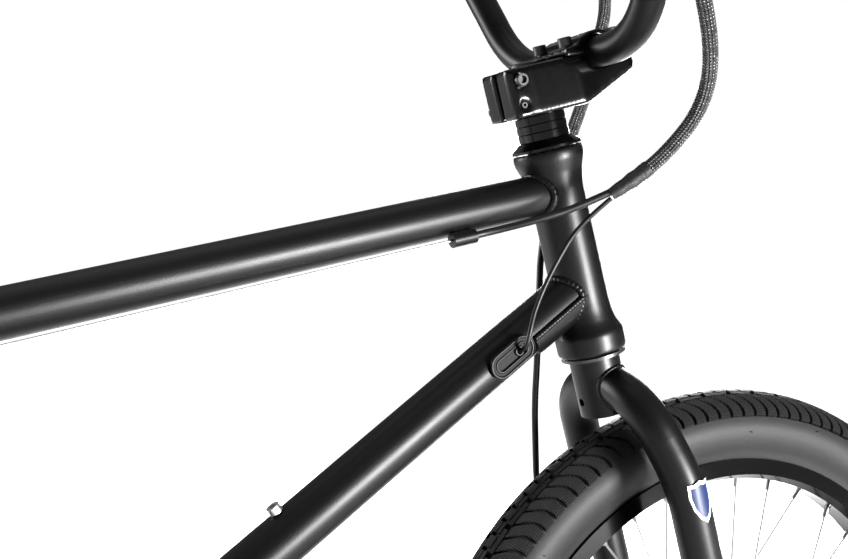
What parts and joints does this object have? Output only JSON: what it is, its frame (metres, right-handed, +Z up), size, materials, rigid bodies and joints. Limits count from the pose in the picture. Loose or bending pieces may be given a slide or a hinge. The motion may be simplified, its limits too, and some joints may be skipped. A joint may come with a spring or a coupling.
{
  "type": "bmx bike",
  "caption": "Small-wheeled single-speed stunt bike: steel frame, high handlebar on a top-load stem, spoked wheels, disc and rim brakes.",
  "frame": {"origin": "on the ground, midway between the axles, in the frame's middle plane", "axes": "+X forward, +Y to the rider's left, +Z up"},
  "size_m": [1.4748, 0.7481, 0.9862],
  "materials": {
    "frame_paint": "satin powder coat",
    "black_anodised": "gloss black anodised",
    "rim_black": "polished black anodised",
    "silver_steel": "zinc plated",
    "black_steel": "black oxide",
    "spoke_steel": "drawn stainless wire",
    "chain_steel": "oiled",
    "tyre_rubber": "moulded with side blocks",
    "grip_rubber": "ribbed",
    "trim_rubber": "smooth",
    "bar_plug": "moulded",
    "seat_cover": "woven cover over foam",
    "seat_base": "moulded",
    "braided_sleeve": "braided, light flecks",
    "wire_jacket": "smooth"
  },
  "bodies": {
    "frame": {"head_tube": "frame_paint", "top_tube": "frame_paint", "down_tube": "frame_paint", "seat_tube": "frame_paint", "bb_shell": "frame_paint", "chainstays": "frame_paint", "seatstays": "frame_paint", "rear_dropouts": "frame_paint", "down_tube_gusset": "frame_paint", "cable_stops": "frame_paint", "seatpost": "frame_paint", "seat_clamp": "black_anodised", "bottle_bolts": "silver_steel", "frame_bearings": "silver_steel", "inner_wire": "silver_steel", "rear_axle": "black_steel", "saddle_rails": "black_steel", "wire_grommet": "trim_rubber", "saddle_pad": "seat_cover", "saddle_shell": "seat_base", "chain": "chain_steel", "rear_brake_cable": "braided_sleeve", "sensor_wire": "wire_jacket", "front_brake_cable": "braided_sleeve"},
    "fork": {"fork_crown": "frame_paint", "fork_legs": "frame_paint", "fork_dropouts": "frame_paint", "crown_race": "black_steel", "headset_cover": "black_anodised", "spacers": "black_anodised", "stem_body": "black_anodised", "stem_cap": "black_anodised", "stem_bolts": "black_steel", "handlebar": "frame_paint", "crossbar": "frame_paint", "grips": "grip_rubber", "bar_plugs": "bar_plug", "lever_clamps": "black_anodised", "front_axle": "black_steel", "front_caliper": "black_anodised"},
    "left_lever": {"brake_lever_left": "black_anodised"},
    "right_lever": {"brake_lever_right": "black_anodised"},
    "caliper_arm": {"front_brake_arm": "black_anodised"},
    "front_wheel": {"front_tyre": "tyre_rubber", "front_rim": "rim_black", "front_spokes": "spoke_steel", "front_hub": "black_anodised", "front_rotor": "silver_steel"},
    "rear_wheel": {"rear_tyre": "tyre_rubber", "rear_rim": "rim_black", "rear_spokes": "spoke_steel", "rear_hub": "black_anodised"},
    "driver": {"rear_cog": "silver_steel"},
    "crank": {"crank_arms": "frame_paint", "crank_spindles": "black_steel", "sprocket": "black_anodised"},
    "left_pedal": {"pedal_left": "black_anodised"},
    "right_pedal": {"pedal_right": "black_anodised"},
    "left_brake_arm": {"rear_brake_arm_left": "black_anodised"},
    "right_brake_arm": {"rear_brake_arm_right": "black_anodised"}
  },
  "joints": [
    {"name": "steering", "type": "hinge", "parent": "frame", "child": "fork", "pos_m": [0.35918, 0, 0.55448], "axis": [-0.2639, 0, 0.9646], "range_deg": [-55, 65], "deforming": ["rear_brake_cable", "sensor_wire", "front_brake_cable"]},
    {"name": "front_wheel_spin", "type": "hinge", "parent": "fork", "child": "front_wheel", "pos_m": [0.47786, -0.00322, 0.25996], "axis": [0.0841, 0.9962, 0.023], "continuous": true},
    {"name": "rear_wheel_spin", "type": "hinge", "parent": "frame", "child": "rear_wheel", "pos_m": [-0.478, 0, 0.26], "axis": [0, 1, 0], "continuous": true},
    {"name": "crank_spin", "type": "hinge", "parent": "frame", "child": "crank", "pos_m": [-0.10464, 0, 0.295], "axis": [0, 1, 0], "continuous": true, "deforming": ["chain"]},
    {"name": "driver_spin", "type": "hinge", "parent": "frame", "child": "driver", "pos_m": [-0.478, 0, 0.26], "axis": [0, 1, 0], "continuous": true},
    {"name": "left_pedal_spin", "type": "hinge", "parent": "crank", "child": "left_pedal", "pos_m": [-0.27964, 0, 0.295], "axis": [0, 1, 0], "continuous": true},
    {"name": "right_pedal_spin", "type": "hinge", "parent": "crank", "child": "right_pedal", "pos_m": [0.07036, 0, 0.295], "axis": [0, 1, 0], "continuous": true},
    {"name": "left_lever_squeeze", "type": "hinge", "parent": "fork", "child": "left_lever", "pos_m": [0.33325, 0.23931, 0.95668], "axis": [0.2541, -0.0169, 0.967], "range_deg": [0, 13], "stiffness_Nm_per_rad": 0.3, "springref_deg": -5.73},
    {"name": "right_lever_squeeze", "type": "hinge", "parent": "fork", "child": "right_lever", "pos_m": [0.29198, -0.24976, 0.94539], "axis": [-0.2496, 0.0702, -0.9658], "range_deg": [0, 13], "stiffness_Nm_per_rad": 0.3, "springref_deg": -5.73},
    {"name": "caliper_arm_pull", "type": "hinge", "parent": "fork", "child": "caliper_arm", "pos_m": [0.41488, 0.0515, 0.29187], "axis": [0.0841, 0.9962, 0.023], "range_deg": [0, 15]},
    {"name": "left_brake_arm_pull", "type": "hinge", "parent": "frame", "child": "left_brake_arm", "pos_m": [-0.37222, 0.04903, 0.4111], "axis": [0.6654, 0, -0.7465], "range_deg": [0, 2.7], "deforming": ["inner_wire"]},
    {"name": "right_brake_arm_pull", "type": "hinge", "parent": "frame", "child": "right_brake_arm", "pos_m": [-0.37222, -0.04903, 0.4111], "axis": [-0.6654, 0, 0.7465], "range_deg": [0, 2.7]}
  ],
  "couplings": [
    {"joint": "driver_spin", "follows": "crank_spin", "ratio": 2.7778},
    {"joint": "caliper_arm_pull", "follows": "left_lever_squeeze", "ratio": 1.1},
    {"joint": "left_brake_arm_pull", "follows": "right_lever_squeeze", "ratio": 0.2},
    {"joint": "right_brake_arm_pull", "follows": "right_lever_squeeze", "ratio": 0.2}
  ]
}
